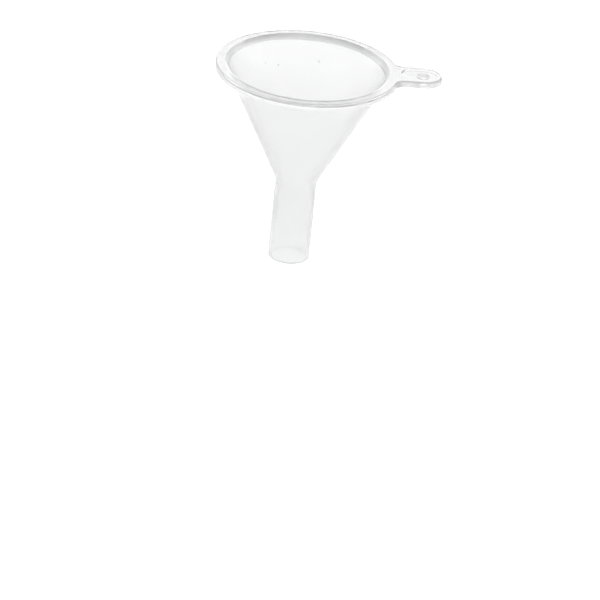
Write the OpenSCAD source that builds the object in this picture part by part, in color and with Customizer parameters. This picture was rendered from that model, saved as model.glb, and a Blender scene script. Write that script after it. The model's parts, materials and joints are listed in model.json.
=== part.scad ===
// Small transfer funnel for narrow bottle necks: one thin moulding with a flanged mouth,
// a straight conical bowl, a straight spout and a hang tab. The origin is the centre of the
// spout's open end, +Z runs up the axis to the mouth, and the tab points along +X.

/* [Mouth] */
// Outside diameter of the rim
mouth_d = 28; // [22:0.5:40]
// Height of the rim's outer edge
rim_h = 1; // [0.6:0.05:1.5]
// How far the rim stands out past the bowl's outer wall
rim_overhang = 1.75; // [1:0.05:2.5]

/* [Bowl] */
// Height of the bowl from the spout to the rim's underside
bowl_h = 17.8; // [12:0.1:30]
// Wall thickness of the bowl and spout, square to the surface
wall = 0.5; // [0.4:0.05:0.8]

/* [Spout] */
// Outside diameter of the spout
spout_d = 6.4; // [5:0.1:10]
// Length of the spout below the bowl
spout_len = 13.2; // [8:0.1:25]

/* [Hang tab] */
// Width of the tab, and the diameter of its round end
tab_w = 5.8; // [4.5:0.1:7]
// Thickness of the tab, measured down from the rim's top
tab_t = 1; // [0.5:0.05:1.5]
// Distance from the rim's outer edge to the centre of the hang hole
hole_reach = 3.7; // [3:0.1:8]
// Diameter of the hang hole
hole_d = 1.8; // [1.2:0.1:2.2]
// Radius in plan where the tab runs into the rim
tab_root_r = 1.5; // [0.5:0.1:2.5]
// Width of the raised border round the tab's recess
border_w = 1; // [0.6:0.1:1.2]
// Depth of the recess in the tab's top
recess_depth = 0.2; // [0.1:0.05:0.4]
// Distance from the rim's outer edge to the recess
recess_gap = 0.4; // [0.2:0.1:1]

/* [Hidden] */

$fn = 96;
// Overshoot of a cutting tool past the faces it cuts
cut = 1;
// How far inside the rim's edge the root fillets run out, so the tab's corners end cleanly
runout = 0.03;

mouth_r = mouth_d / 2;
spout_r = spout_d / 2;
bore_r = spout_r - wall;

// Levels up the axis, from the spout's open end
neck_z = spout_len;
flange_z = neck_z + bowl_h;
top_z = flange_z + rim_h;

// The bowl's outer cone, its lean from the axis and its wall measured level
seat_r = mouth_r - rim_overhang;
lean = atan((seat_r - spout_r) / bowl_h);
level_wall = wall / cos(lean);

// Height at which the bowl's inner cone meets the spout's bore
throat_z = neck_z + wall * tan(lean / 2);

// Centre of the tab's round end, which the hang hole shares
hole_x = mouth_r + hole_reach;
// Centre of each root fillet, which runs from the tab's side into the rim's edge
fillet_y = tab_w / 2 + tab_root_r;
fillet_x = sqrt((mouth_r - runout + tab_root_r) ^ 2 - fillet_y ^ 2);

// Radius of the recess's round ends, and the centre of the one beside the rim
recess_r = tab_w / 2 - border_w;
recess_x = mouth_r + recess_gap + recess_r;

// Radius of the bowl's inner surface at height z
function bowl_inner_r(z) = spout_r - level_wall + (z - neck_z) * tan(lean);

// Flanged ring at the mouth, with a flat top that the bowl's inner cone runs up to
module rim() {
    color("whitesmoke")
        rotate_extrude()
            polygon([
                [bowl_inner_r(flange_z), flange_z],
                [mouth_r, flange_z],
                [mouth_r, top_z],
                [bowl_inner_r(top_z), top_z]
            ]);
}

// Conical wall from the spout up to the rim's underside
module bowl() {
    color("ghostwhite")
        rotate_extrude()
            polygon([
                [bore_r, neck_z],
                [spout_r, neck_z],
                [seat_r, flange_z],
                [bowl_inner_r(flange_z), flange_z],
                [bore_r, throat_z]
            ]);
}

// Straight tube that goes into the bottle's neck
module spout() {
    color("gainsboro")
        difference() {
            cylinder(h = spout_len, r = spout_r);
            translate([0, 0, -cut])
                cylinder(h = spout_len + 2 * cut, r = bore_r);
        }
}

// Plan of the tab before the rim, the fillets and the hole are cut out of it
module tab_plan() {
    translate([hole_x, 0])
        circle(r = tab_w / 2);
    translate([0, -tab_w / 2])
        square([hole_x, tab_w]);
    polygon([
        [0, 0],
        [fillet_x, -fillet_y],
        [fillet_x, fillet_y]
    ]);
}

// Plan of the shallow recess in the tab's top
module recess_plan() {
    for (x = [recess_x, hole_x])
        translate([x, 0])
            circle(r = recess_r);
    translate([recess_x, -recess_r])
        square([hole_x - recess_x, 2 * recess_r]);
}

// Tab with a round end, root fillets, a recess and a hang hole, flush with the rim's top
module hang_tab() {
    color("whitesmoke")
        difference() {
            translate([0, 0, top_z - tab_t])
                linear_extrude(tab_t)
                    tab_plan();
            translate([0, 0, top_z - tab_t - cut]) {
                cylinder(h = tab_t + 2 * cut, r = mouth_r);
                translate([hole_x, 0])
                    cylinder(h = tab_t + 2 * cut, r = hole_d / 2);
                for (side = [-1, 1])
                    translate([fillet_x, side * fillet_y])
                        cylinder(h = tab_t + 2 * cut, r = tab_root_r);
            }
            translate([0, 0, top_z - recess_depth])
                linear_extrude(recess_depth + cut)
                    recess_plan();
        }
}

rim();
bowl();
spout();
hang_tab();
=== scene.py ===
"""A small transfer funnel of natural polypropylene, and the studio that it stands in."""

import json
import math

import bmesh
import bpy
from bpy.props import FloatProperty, FloatVectorProperty, IntProperty, PointerProperty
from mathutils import Matrix, Vector


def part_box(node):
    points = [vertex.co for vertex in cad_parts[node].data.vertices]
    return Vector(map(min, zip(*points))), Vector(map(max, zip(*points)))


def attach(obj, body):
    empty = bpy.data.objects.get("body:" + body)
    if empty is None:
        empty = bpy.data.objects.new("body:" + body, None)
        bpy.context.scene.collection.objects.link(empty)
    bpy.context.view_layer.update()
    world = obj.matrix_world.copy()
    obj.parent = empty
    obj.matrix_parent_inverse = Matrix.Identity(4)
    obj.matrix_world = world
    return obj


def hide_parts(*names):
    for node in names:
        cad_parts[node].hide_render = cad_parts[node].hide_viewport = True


bl_info = {
    "name": "Transfer Funnel",
    "version": (1, 0, 0),
    "blender": (4, 5, 0),
    "location": "3D View > Sidebar > Funnel",
    "description": "Builds a small translucent transfer funnel and the studio round it",
    "category": "Add Mesh",
}

MM = 0.001
NEAR = 1e-6
QUARTER = math.pi / 2
STEEP = math.radians(80)

# steps in a quarter of a round end, in a root fillet and in half of the hang hole
END_STEPS = 20
FILLET_STEPS = 12
HOLE_STEPS = 40
# segments across a fine rounding, a broad one and the crown
FINE = 4
BROAD = 6
CROWN = 8

PLASTIC_IOR = 1.49
# detail of the noise in ripples and rings, in cloudy patches and in smudges
PLAIN_DETAIL = 2.0
PATCH_DETAIL = 3.0
SMUDGE_DETAIL = 4.0
# stretches of the noise over which patches and smudges fade in
PATCH_FADE = (0.3, 0.7)
SMUDGE_FADE = (0.4, 0.8)
# hairline scratches: their turn, how long they are drawn, and their share of the distance between
SCRATCH_TURN = (0.6, 0.3, 0.9)
SCRATCH_STRETCH = (1.0, 1.0, 0.08)
SCRATCH_WIDTH = 0.03

FLOOR_RADIUS = 4.0
FLOOR_STEPS = 96
FLOOR_ROUGHNESS = 0.9
FLOOR_GLOSS = 0.1
NEAREST_SEEN = 0.01
FARTHEST_SEEN = 20.0

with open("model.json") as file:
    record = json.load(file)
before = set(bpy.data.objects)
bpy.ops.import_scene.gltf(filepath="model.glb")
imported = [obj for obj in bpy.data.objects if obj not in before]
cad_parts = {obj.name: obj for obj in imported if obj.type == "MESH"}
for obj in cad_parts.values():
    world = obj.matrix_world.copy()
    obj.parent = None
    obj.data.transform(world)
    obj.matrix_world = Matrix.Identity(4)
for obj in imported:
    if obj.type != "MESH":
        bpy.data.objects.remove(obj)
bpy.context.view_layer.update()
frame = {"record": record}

MOUNTS = {mount["name"]: mount for mount in frame["record"]["mounts"]}
RIM_LOW, RIM_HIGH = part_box("rim")
BOWL_LOW, BOWL_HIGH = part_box("bowl")
SPOUT_LOW, SPOUT_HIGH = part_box("spout")
TAB_LOW, TAB_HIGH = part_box("hang_tab")


# ---------------------------------------------------------------- settings

def length(name, description, default):
    """A length that the sidebar shows in the scene's units."""
    return FloatProperty(
        name=name, description=description, default=default,
        min=0.0, precision=6, subtype="DISTANCE", unit="LENGTH",
    )


def angle(name, description, degrees):
    """An angle that the sidebar shows in degrees."""
    return FloatProperty(
        name=name, description=description, default=math.radians(degrees),
        subtype="ANGLE", unit="ROTATION",
    )


def share(name, description, default):
    """A number from 0 to 1."""
    return FloatProperty(
        name=name, description=description, default=default,
        min=0.0, max=1.0, subtype="FACTOR",
    )


def bright(name, description, default):
    """A brightness, where 1 is paper white."""
    return FloatProperty(name=name, description=description, default=default, min=0.0)


def colour(name, description, default):
    """A colour in linear light."""
    return FloatVectorProperty(
        name=name, description=description, default=default,
        min=0.0, max=1.0, size=3, subtype="COLOR",
    )


class FunnelSizes(bpy.types.PropertyGroup):
    """Sizes of the moulding. Those that the frame holds come from it."""

    mouth_radius: length("Mouth radius", "Radius of the rim's outer edge", RIM_HIGH.x)
    seat_radius: length("Seat radius", "Radius of the bowl under the rim", BOWL_HIGH.x)
    spout_radius: length("Spout radius", "Outside radius of the spout", SPOUT_HIGH.x)
    outlet_radius: length(
        "Outlet radius", "Radius of the spout's bore", MOUNTS["outlet"]["dims"]["r_mm"] * MM
    )
    hole_radius: length(
        "Hole radius", "Radius of the hang hole", MOUNTS["hang_hole"]["dims"]["r_mm"] * MM
    )
    hole_reach: length(
        "Hole reach", "Distance from the axis to the hang hole", MOUNTS["hang_hole"]["pos_m"][0]
    )
    tab_root_radius: length("Tab root radius", "Radius where the tab runs into the rim", 1.5 * MM)
    border_width: length("Border width", "Width of the raised border round the recess", 1.0 * MM)
    recess_depth: length("Recess depth", "Depth of the recess in the tab's top", 0.2 * MM)
    recess_gap: length("Recess gap", "Distance from the rim's edge to the recess", 0.4 * MM)
    crown_radius: length("Crown radius", "Rounding of the rim's and the tab's upper edge", 0.3 * MM)
    edge_radius: length("Edge radius", "Rounding of their lower edge", 0.14 * MM)
    hole_edge: length("Hole edge", "Rounding of the hang hole's edges", 0.1 * MM)
    recess_edge: length("Recess edge", "Rounding of the recess's edge", 0.19 * MM)
    tip_radius: length("Tip radius", "Rounding of the spout's open end", 0.12 * MM)
    lip_radius: length("Lip radius", "Rounding between the flat ring and the bowl", 0.8 * MM)
    seat_fillet: length("Seat fillet", "Fillet between the bowl and the rim's underside", 0.1 * MM)
    neck_radius: length("Neck radius", "Rounding between the bowl and the spout outside", 2.0 * MM)
    throat_radius: length("Throat radius", "Rounding between the bowl and the bore", 2.5 * MM)
    steps: IntProperty(
        name="Steps", description="Steps in half a turn round the axis", default=144, min=24
    )


class FunnelFinish(bpy.types.PropertyGroup):
    """The look of natural polypropylene."""

    clear: colour("Clear", "Colour of the plastic where it is clearest", (0.99, 0.992, 0.995))
    cloudy: colour("Cloudy", "Colour of the plastic where it is cloudiest", (0.972, 0.974, 0.978))
    speck: colour("Speck", "Colour of the black specks in the plastic", (0.3, 0.295, 0.29))
    clarity: share("Clarity", "Share of light that passes without scattering", 0.77)
    polished: share("Polished", "Roughness where the moulding is untouched", 0.17)
    handled: share("Handled", "Roughness of smudges and hairline scratches", 0.27)
    patch_size: length("Patch size", "Size of the cloudy patches", 5.0 * MM)
    speck_size: length("Speck size", "Width of a speck", 0.28 * MM)
    speck_spacing: length("Speck spacing", "Distance between places for a speck", 2.1 * MM)
    speck_share: share("Speck share", "Share of those places that hold a speck", 0.2)
    smudge_size: length("Smudge size", "Size of the smudges", 2.2 * MM)
    scratch_size: length("Scratch size", "Distance between hairline scratches", 0.9 * MM)
    ring_width: length("Ring width", "Width of the mould's turning marks", 0.55 * MM)
    ripple_size: length("Ripple size", "Size of the ripples of flow", 1.6 * MM)
    relief: length("Relief", "Height of the marks and ripples", 0.008 * MM)


class FunnelStudio(bpy.types.PropertyGroup):
    """The floor, the light and the camera."""

    floor_colour: colour("Floor colour", "Colour of the studio floor", (0.86, 0.86, 0.86))
    floor_glow: share("Floor glow", "Light that the floor gives off", 0.5)
    dome_low: bright("Dome low", "Brightness of the dome from the floor up to low_end", 1.25)
    dome_high: bright("Dome high", "Brightness of the dome above high_start", 0.62)
    low_end: share("Low end", "Height in the dome, as a sine, where it starts to darken", 0.45)
    high_start: share("High start", "Height in the dome, as a sine, where it is darkest", 0.65)
    azimuth: angle("Azimuth", "Turn of the camera round the funnel, from straight in front", -3.65)
    elevation: angle("Elevation", "Height of the camera above the mouth's level", 23.49)
    roll: angle("Roll", "Lean of the funnel in the picture, to the right", 5.81)
    aim_down: angle("Aim down", "How far below the mouth the camera aims", 3.1475)
    aim_side: angle("Aim side", "How far left of the mouth the camera aims", 0.1026)
    distance: length("Distance", "Distance from the camera to the mouth", 0.646)
    focal_length: FloatProperty(
        name="Focal length", description="Focal length in millimetres", default=254.95, min=1.0
    )


# ---------------------------------------------------------------- moulding

def turn(bm, vertex, centre, sweep, steps):
    """Sweeps a vertex round a vertical line, leaves its path, and gives the last vertex."""
    made = bmesh.ops.spin(
        bm, geom=[vertex], cent=centre, axis=(0, 0, 1), dvec=(0, 0, 0),
        angle=sweep, steps=steps, use_merge=False, use_duplicate=False,
    )
    return next(item for item in made["geom_last"] if isinstance(item, bmesh.types.BMVert))


def run(bm, vertex, place):
    """Draws one straight edge from a vertex to a place, and gives the new vertex."""
    made = bmesh.ops.extrude_vert_indiv(bm, verts=[vertex])
    made["verts"][0].co = place
    return made["verts"][0]


class Levels:
    """Heights and radii that follow from the sizes."""

    def __init__(self, sizes):
        self.top = RIM_HIGH.z
        self.under = RIM_LOW.z
        self.neck = SPOUT_HIGH.z
        self.tip = SPOUT_LOW.z
        rise = self.under - self.neck
        self.lean = math.atan2(sizes.seat_radius - sizes.spout_radius, rise)
        self.wall = sizes.spout_radius - sizes.outlet_radius
        self.throat = self.neck + self.wall * math.tan(self.lean / 2)
        level_wall = self.wall / math.cos(self.lean)
        self.mouth = sizes.spout_radius - level_wall + (self.top - self.neck) * math.tan(self.lean)
        self.recess = self.top - sizes.recess_depth
        self.tab_end = TAB_HIGH.x - sizes.hole_reach
        self.recess_end = self.tab_end - sizes.border_width
        self.recess_start = sizes.mouth_radius + sizes.recess_gap + self.recess_end


def spin_bowl(bm, sizes, at):
    """Spins the bowl and the spout through half a turn, from the lip round to the seat."""
    profile = [
        (at.mouth, at.top),
        (sizes.outlet_radius, at.throat),
        (sizes.outlet_radius, at.tip),
        (sizes.spout_radius, at.tip),
        (sizes.spout_radius, at.neck),
        (sizes.seat_radius, at.under),
    ]
    corners = [bm.verts.new((radius, 0, height)) for radius, height in profile]
    edges = [bm.edges.new(pair) for pair in zip(corners, corners[1:])]
    bmesh.ops.spin(
        bm, geom=corners + edges, cent=(0, 0, 0), axis=(0, 0, 1), dvec=(0, 0, 0),
        angle=math.pi, steps=sizes.steps, use_merge=False, use_duplicate=False,
    )


def draw_outline(bm, sizes, at):
    """Draws half of the plan of the rim and tab at the top level, from the tab's tip."""
    fillet_y = at.tab_end + sizes.tab_root_radius
    reach = sizes.mouth_radius + sizes.tab_root_radius
    meet = math.asin(fillet_y / reach)
    fillet_x = reach * math.cos(meet)
    vertex = bm.verts.new((sizes.hole_reach + at.tab_end, 0, at.top))
    vertex = turn(bm, vertex, (sizes.hole_reach, 0, at.top), QUARTER, END_STEPS)
    vertex = run(bm, vertex, (fillet_x, at.tab_end, at.top))
    vertex = turn(bm, vertex, (fillet_x, fillet_y, at.top), meet - QUARTER, FILLET_STEPS)
    turn(bm, vertex, (0, 0, at.top), math.pi - meet, sizes.steps - FILLET_STEPS)


def draw_recess(bm, sizes, at):
    """Draws half of the recess at the top level, from the end beside the tab's tip."""
    vertex = bm.verts.new((sizes.hole_reach + at.recess_end, 0, at.top))
    vertex = turn(bm, vertex, (sizes.hole_reach, 0, at.top), QUARTER, END_STEPS)
    vertex = run(bm, vertex, (at.recess_start, at.recess_end, at.top))
    turn(bm, vertex, (at.recess_start, 0, at.top), QUARTER, END_STEPS)


def draw_hole(bm, sizes, at):
    """Draws half of the hang hole at the recess's level."""
    vertex = bm.verts.new((sizes.hole_reach + sizes.hole_radius, 0, at.recess))
    turn(bm, vertex, (sizes.hole_reach, 0, at.recess), math.pi, HOLE_STEPS)


def hang_wall(bm, draw, sizes, at, floor):
    """Draws a line and pulls a wall down from it to the floor level."""
    before = set(bm.edges)
    draw(bm, sizes, at)
    drawn = [e for e in bm.edges if e not in before]
    height = drawn[0].verts[0].co.z
    made = bmesh.ops.extrude_edge_only(bm, edges=drawn)
    lowered = [item for item in made["geom"] if isinstance(item, bmesh.types.BMVert)]
    bmesh.ops.translate(bm, verts=lowered, vec=(0, 0, floor - height))


def cap_level(bm, height):
    """Closes one flat level of the half rim and tab, between the lines that lie in it."""
    level = [e for e in bm.edges if all(abs(v.co.z - height) < NEAR for v in e.verts)]
    ends = sorted(
        (v for v in bm.verts if abs(v.co.z - height) < NEAR and abs(v.co.y) < NEAR),
        key=lambda v: v.co.x,
    )
    # the ends lie on the middle plane, where solid and empty stretches alternate
    bars = [bm.edges.new(pair) for pair in zip(ends[0::2], ends[1::2])]
    bmesh.ops.contextual_create(bm, geom=level + bars)


def round_edges(bm, pick, radius, segments):
    """Rounds the edges that pick chooses, with one radius whatever angle they turn through."""
    edges = [e for e in bm.edges if len(e.link_faces) == 2 and pick(e)]
    if not edges:
        raise RuntimeError("no edges to round")
    corner = sum(e.calc_face_angle() for e in edges) / len(edges)
    bmesh.ops.bevel(
        bm, geom=edges, offset=radius * math.tan(corner / 2), offset_type="OFFSET",
        affect="EDGES", segments=segments, profile=0.5, material=-1, clamp_overlap=True,
    )


def on_ring(radius, height):
    """A test for the edges of one circle round the axis."""
    def test(edge):
        return all(
            abs(v.co.z - height) < NEAR and abs(v.co.xy.length - radius) < NEAR
            for v in edge.verts
        )
    return test


def in_level(height, near_hole, sizes):
    """A test for the sharp edges of one flat level, either round the hang hole or elsewhere."""
    hole = Vector((sizes.hole_reach, 0))

    def test(edge):
        level = all(abs(v.co.z - height) < NEAR for v in edge.verts)
        beside = abs((edge.verts[0].co.xy - hole).length - sizes.hole_radius) < NEAR
        return level and beside == near_hole and edge.calc_face_angle() > STEEP
    return test


def in_recess(height, sizes, at):
    """A test for the edges of the recess's wall at one height."""
    def test(edge):
        return all(
            abs(v.co.z - height) < NEAR
            and v.co.x > sizes.mouth_radius
            and abs(v.co.y) < at.recess_end + NEAR
            and v.co.x < sizes.hole_reach + at.recess_end + NEAR
            for v in edge.verts
        ) and edge.calc_face_angle() > STEEP
    return test


def make_moulding(sizes):
    """Builds the whole moulding as one closed mesh."""
    at = Levels(sizes)
    bm = bmesh.new()
    spin_bowl(bm, sizes, at)
    hang_wall(bm, draw_outline, sizes, at, at.under)
    hang_wall(bm, draw_recess, sizes, at, at.recess)
    hang_wall(bm, draw_hole, sizes, at, at.under)
    for height in (at.top, at.recess, at.under):
        cap_level(bm, height)
    bmesh.ops.mirror(
        bm, geom=bm.verts[:] + bm.edges[:] + bm.faces[:], matrix=Matrix.Identity(4),
        merge_dist=NEAR, axis="Y",
    )
    bmesh.ops.remove_doubles(bm, verts=bm.verts, dist=NEAR)
    bmesh.ops.recalc_face_normals(bm, faces=bm.faces)

    round_edges(bm, in_recess(at.top, sizes, at), sizes.recess_edge, FINE)
    for height in (at.recess, at.under):
        round_edges(bm, in_level(height, True, sizes), sizes.hole_edge, FINE)
    round_edges(bm, in_level(at.top, False, sizes), sizes.crown_radius, CROWN)
    round_edges(bm, in_level(at.under, False, sizes), sizes.edge_radius, FINE)
    round_edges(bm, on_ring(at.mouth, at.top), sizes.lip_radius, BROAD)
    round_edges(bm, on_ring(sizes.seat_radius, at.under), sizes.seat_fillet, FINE)
    round_edges(bm, on_ring(sizes.outlet_radius, at.throat), sizes.throat_radius, BROAD)
    round_edges(bm, on_ring(sizes.spout_radius, at.neck), sizes.neck_radius, BROAD)
    for radius in (sizes.outlet_radius, sizes.spout_radius):
        round_edges(bm, on_ring(radius, at.tip), sizes.tip_radius, FINE)
    return bm


def to_object(bm, name, material):
    """Turns a bmesh into a smooth-shaded piece with one material."""
    mesh = bpy.data.meshes.new(name)
    bm.to_mesh(mesh)
    bm.free()
    mesh.shade_smooth()
    mesh.materials.append(material)
    piece = bpy.data.objects.new(name, mesh)
    bpy.context.collection.objects.link(piece)
    return piece


# ---------------------------------------------------------------- materials

def new_group(name, inputs, outputs):
    """Starts a shader node group, and gives its tree, its entry's outputs and its exit's inputs."""
    tree = bpy.data.node_groups.new(name, "ShaderNodeTree")
    for label, kind in inputs:
        tree.interface.new_socket(name=label, in_out="INPUT", socket_type="NodeSocket" + kind)
    for label, kind in outputs:
        tree.interface.new_socket(name=label, in_out="OUTPUT", socket_type="NodeSocket" + kind)
    entry = tree.nodes.new("NodeGroupInput")
    leave = tree.nodes.new("NodeGroupOutput")
    return tree, entry.outputs, leave.inputs


def feed(tree, socket, item):
    """Gives a socket a value, or a link if the item is a socket too."""
    if isinstance(item, bpy.types.NodeSocket):
        tree.links.new(item, socket)
    else:
        socket.default_value = item


def place_group(tree, group, **values):
    """Places a group in a tree, feeds its inputs, and gives its first output."""
    node = tree.nodes.new("ShaderNodeGroup")
    node.node_tree = group
    for label, item in values.items():
        feed(tree, node.inputs[label], item)
    return node.outputs[0]


def maths(tree, operation, first, second):
    """Adds a Math node over two sockets or numbers."""
    node = tree.nodes.new("ShaderNodeMath")
    node.operation = operation
    feed(tree, node.inputs[0], first)
    feed(tree, node.inputs[1], second)
    return node.outputs["Value"]


def ramp(tree, value, low, high):
    """Turns a value from low to high into one from 0 to 1, with soft ends."""
    node = tree.nodes.new("ShaderNodeMapRange")
    node.interpolation_type = "SMOOTHSTEP"
    feed(tree, node.inputs["Value"], value)
    feed(tree, node.inputs["From Min"], low)
    feed(tree, node.inputs["From Max"], high)
    return node.outputs["Result"]


def blend(tree, amount, first, second):
    """Adds a Mix node over two colours."""
    node = tree.nodes.new("ShaderNodeMix")
    node.data_type = "RGBA"
    amount_in = next(i for i in node.inputs if i.name == "Factor" and i.type == "VALUE")
    first_in, second_in = (i for i in node.inputs if i.type == "RGBA")
    feed(tree, amount_in, amount)
    feed(tree, first_in, first)
    feed(tree, second_in, second)
    return next(o for o in node.outputs if o.type == "RGBA")


def noise(tree, vector, size, detail):
    """Adds noise whose patches are size metres across."""
    node = tree.nodes.new("ShaderNodeTexNoise")
    feed(tree, node.inputs["Vector"], vector)
    feed(tree, node.inputs["Scale"], maths(tree, "DIVIDE", 1.0, size))
    feed(tree, node.inputs["Detail"], detail)
    return node.outputs["Fac"]


def cells(tree, vector, size, feature):
    """Adds Voronoi cells that are size metres across."""
    node = tree.nodes.new("ShaderNodeTexVoronoi")
    node.feature = feature
    feed(tree, node.inputs["Vector"], vector)
    feed(tree, node.inputs["Scale"], maths(tree, "DIVIDE", 1.0, size))
    return node.outputs


def haze_patches():
    """Group: a colour that drifts between clear and cloudy plastic."""
    tree, entry, leave = new_group(
        "haze_patches",
        (("Vector", "Vector"), ("Clear", "Color"), ("Cloudy", "Color"), ("Size", "Float")),
        (("Colour", "Color"),),
    )
    patches = noise(tree, entry["Vector"], entry["Size"], PATCH_DETAIL)
    drift = ramp(tree, patches, *PATCH_FADE)
    feed(tree, leave["Colour"], blend(tree, drift, entry["Clear"], entry["Cloudy"]))
    return tree


def specks():
    """Group: a mask of a few small specks, each in the middle of its own cell."""
    tree, entry, leave = new_group(
        "specks",
        (("Vector", "Vector"), ("Spacing", "Float"), ("Size", "Float"), ("Share", "Float")),
        (("Mask", "Float"),),
    )
    made = cells(tree, entry["Vector"], entry["Spacing"], "F1")
    reach = maths(tree, "DIVIDE", maths(tree, "MULTIPLY", entry["Size"], 0.5), entry["Spacing"])
    inside = maths(tree, "LESS_THAN", made["Distance"], reach)
    lot = tree.nodes.new("ShaderNodeSeparateColor")
    feed(tree, lot.inputs["Color"], made["Color"])
    drawn = maths(tree, "LESS_THAN", lot.outputs["Red"], entry["Share"])
    feed(tree, leave["Mask"], maths(tree, "MULTIPLY", inside, drawn))
    return tree


def turning_marks():
    """Group: the height of fine rings round the axis, such as a turned mould leaves."""
    tree, entry, leave = new_group(
        "turning_marks", (("Vector", "Vector"), ("Width", "Float")), (("Height", "Float"),)
    )
    place = tree.nodes.new("ShaderNodeSeparateXYZ")
    feed(tree, place.inputs["Vector"], entry["Vector"])
    across = maths(
        tree, "ADD",
        maths(tree, "MULTIPLY", place.outputs["X"], place.outputs["X"]),
        maths(tree, "MULTIPLY", place.outputs["Y"], place.outputs["Y"]),
    )
    around = tree.nodes.new("ShaderNodeCombineXYZ")
    feed(tree, around.inputs["X"], maths(tree, "SQRT", across, 0.0))
    feed(tree, around.inputs["Z"], place.outputs["Z"])
    feed(tree, leave["Height"], noise(tree, around.outputs["Vector"], entry["Width"], PLAIN_DETAIL))
    return tree


def flow_ripples():
    """Group: the height of soft ripples where the plastic flowed and set."""
    tree, entry, leave = new_group(
        "flow_ripples", (("Vector", "Vector"), ("Size", "Float")), (("Height", "Float"),)
    )
    feed(tree, leave["Height"], noise(tree, entry["Vector"], entry["Size"], PLAIN_DETAIL))
    return tree


def handling():
    """Group: a mask of smudges and hairline scratches."""
    tree, entry, leave = new_group(
        "handling",
        (("Vector", "Vector"), ("Smudge", "Float"), ("Scratch", "Float")),
        (("Mask", "Float"),),
    )
    patches = noise(tree, entry["Vector"], entry["Smudge"], SMUDGE_DETAIL)
    smudges = ramp(tree, patches, *SMUDGE_FADE)
    stretched = tree.nodes.new("ShaderNodeMapping")
    stretched.inputs["Rotation"].default_value = SCRATCH_TURN
    stretched.inputs["Scale"].default_value = SCRATCH_STRETCH
    feed(tree, stretched.inputs["Vector"], entry["Vector"])
    lines = cells(tree, stretched.outputs["Vector"], entry["Scratch"], "DISTANCE_TO_EDGE")
    scratches = maths(tree, "LESS_THAN", lines["Distance"], SCRATCH_WIDTH)
    feed(tree, leave["Mask"], maths(tree, "MAXIMUM", smudges, scratches))
    return tree


def natural_polypropylene(finish):
    """Nearly clear plastic with a little haze, specks, turning marks and signs of handling."""
    material = bpy.data.materials.new("natural_polypropylene")
    material.use_nodes = True
    tree = material.node_tree
    surface = tree.nodes["Principled BSDF"].inputs
    surface["IOR"].default_value = PLASTIC_IOR
    surface["Transmission Weight"].default_value = finish.clarity
    place = tree.nodes.new("ShaderNodeTexCoord").outputs["Object"]

    haze = place_group(
        tree, haze_patches(), Vector=place, Size=finish.patch_size,
        Clear=(*finish.clear, 1), Cloudy=(*finish.cloudy, 1),
    )
    dots = place_group(
        tree, specks(), Vector=place, Spacing=finish.speck_spacing, Size=finish.speck_size,
        Share=finish.speck_share,
    )
    feed(tree, surface["Base Color"], blend(tree, dots, haze, (*finish.speck, 1)))

    touched = place_group(
        tree, handling(), Vector=place,
        Smudge=finish.smudge_size, Scratch=finish.scratch_size,
    )
    rise = maths(tree, "MULTIPLY", touched, finish.handled - finish.polished)
    feed(tree, surface["Roughness"], maths(tree, "ADD", rise, finish.polished))

    rings = place_group(tree, turning_marks(), Vector=place, Width=finish.ring_width)
    ripples = place_group(tree, flow_ripples(), Vector=place, Size=finish.ripple_size)
    bump = tree.nodes.new("ShaderNodeBump")
    bump.inputs["Distance"].default_value = finish.relief
    feed(tree, bump.inputs["Height"], maths(tree, "ADD", rings, ripples))
    feed(tree, surface["Normal"], bump.outputs["Normal"])
    return material


def studio_floor(studio):
    """Plain pale floor."""
    material = bpy.data.materials.new("studio_floor")
    material.use_nodes = True
    surface = material.node_tree.nodes["Principled BSDF"]
    surface.inputs["Base Color"].default_value = (*studio.floor_colour, 1)
    surface.inputs["Roughness"].default_value = FLOOR_ROUGHNESS
    surface.inputs["Specular IOR Level"].default_value = FLOOR_GLOSS
    surface.inputs["Emission Color"].default_value = (1, 1, 1, 1)
    surface.inputs["Emission Strength"].default_value = studio.floor_glow
    return material


# ---------------------------------------------------------------- studio

def camera_turn(studio):
    """Gives the way from the mouth back to the camera, and the camera's rotation."""
    flat = math.cos(studio.elevation)
    back = Vector((
        math.sin(studio.azimuth) * flat,
        -math.cos(studio.azimuth) * flat,
        math.sin(studio.elevation),
    ))
    # it looks at the mouth, leans over, then aims below and beside it
    look = (-back).to_track_quat("-Z", "Y").to_matrix()
    lean = Matrix.Rotation(studio.roll, 3, "Z")
    mouth = Vector((math.tan(studio.aim_side), math.tan(studio.aim_down), -1.0))
    aim = mouth.rotation_difference(Vector((0, 0, -1))).to_matrix()
    return back, look @ lean @ aim


def make_camera(studio):
    """Places the camera."""
    data = bpy.data.cameras.new("camera")
    data.lens = studio.focal_length
    data.clip_start = NEAREST_SEEN
    data.clip_end = FARTHEST_SEEN
    camera = bpy.data.objects.new("camera", data)
    back, rotation = camera_turn(studio)
    camera.location = Vector((0, 0, RIM_HIGH.z)) + back * studio.distance
    camera.rotation_euler = rotation.to_euler()
    bpy.context.collection.objects.link(camera)
    bpy.context.scene.camera = camera


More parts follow.
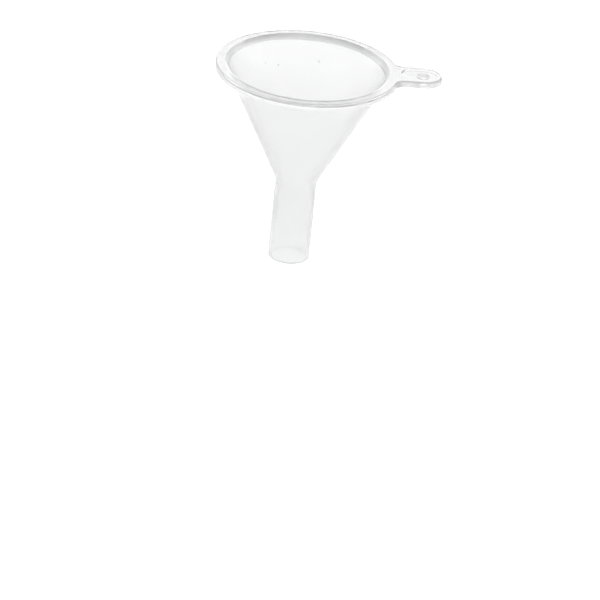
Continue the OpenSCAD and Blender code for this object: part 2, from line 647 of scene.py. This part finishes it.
def make_dome(studio):
    """Surrounds the studio with a soft dome of light that darkens overhead."""
    world = bpy.data.worlds.new("studio_dome")
    world.use_nodes = True
    tree = world.node_tree
    direction = tree.nodes.new("ShaderNodeTexCoord")
    height = tree.nodes.new("ShaderNodeSeparateXYZ")
    fade = tree.nodes.new("ShaderNodeMapRange")
    fade.interpolation_type = "SMOOTHSTEP"
    fade.inputs["From Min"].default_value = studio.low_end
    fade.inputs["From Max"].default_value = studio.high_start
    fade.inputs["To Min"].default_value = studio.dome_low
    fade.inputs["To Max"].default_value = studio.dome_high
    tree.links.new(direction.outputs["Generated"], height.inputs["Vector"])
    tree.links.new(height.outputs["Z"], fade.inputs["Value"])
    tree.links.new(fade.outputs["Result"], tree.nodes["Background"].inputs["Strength"])
    tree.nodes["Background"].inputs["Color"].default_value = (1, 1, 1, 1)
    bpy.context.scene.world = world


def make_floor(studio):
    """Lays the floor at the spout's open end."""
    bm = bmesh.new()
    bmesh.ops.create_circle(bm, cap_ends=True, segments=FLOOR_STEPS, radius=FLOOR_RADIUS)
    to_object(bm, "studio_floor", studio_floor(studio))


# ---------------------------------------------------------------- operators

class FUNNEL_OT_moulding(bpy.types.Operator):
    """Build the funnel's moulding"""

    bl_idname = "funnel.moulding"
    bl_label = "Moulding"

    def execute(self, context):
        scene = context.scene
        material = natural_polypropylene(scene.funnel_finish)
        piece = to_object(make_moulding(scene.funnel_sizes), "funnel_moulding", material)
        piece.modifiers.new("weighted_normals", "WEIGHTED_NORMAL")
        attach(piece, "root")
        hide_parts("rim", "bowl", "spout", "hang_tab")
        return {"FINISHED"}


class FUNNEL_OT_stage(bpy.types.Operator):
    """Lay the floor, light the dome and place the camera"""

    bl_idname = "funnel.stage"
    bl_label = "Stage"

    def execute(self, context):
        studio = context.scene.funnel_studio
        make_floor(studio)
        make_dome(studio)
        context.scene.view_settings.view_transform = "Standard"
        make_camera(studio)
        return {"FINISHED"}


class FUNNEL_PT_sidebar(bpy.types.Panel):
    """Sizes, finish and studio of the funnel"""

    bl_idname = "FUNNEL_PT_sidebar"
    bl_label = "Transfer Funnel"
    bl_space_type = "VIEW_3D"
    bl_region_type = "UI"
    bl_category = "Funnel"

    def draw(self, context):
        for group in (
            context.scene.funnel_sizes, context.scene.funnel_finish, context.scene.funnel_studio
        ):
            box = self.layout.box()
            for name in group.__annotations__:
                box.prop(group, name)
        for operator in OPERATORS:
            self.layout.operator(operator.bl_idname)


OPERATORS = (FUNNEL_OT_moulding, FUNNEL_OT_stage)
GROUPS = (FunnelSizes, FunnelFinish, FunnelStudio)
CLASSES = (*GROUPS, *OPERATORS, FUNNEL_PT_sidebar)


def register():
    for cls in CLASSES:
        bpy.utils.register_class(cls)
    bpy.types.Scene.funnel_sizes = PointerProperty(type=FunnelSizes)
    bpy.types.Scene.funnel_finish = PointerProperty(type=FunnelFinish)
    bpy.types.Scene.funnel_studio = PointerProperty(type=FunnelStudio)


def unregister():
    del bpy.types.Scene.funnel_studio
    del bpy.types.Scene.funnel_finish
    del bpy.types.Scene.funnel_sizes
    for cls in reversed(CLASSES):
        bpy.utils.unregister_class(cls)


def main():
    """Builds everything."""
    register()
    bpy.ops.funnel.moulding()
    bpy.ops.funnel.stage()


if __name__ == "__main__":
    main()
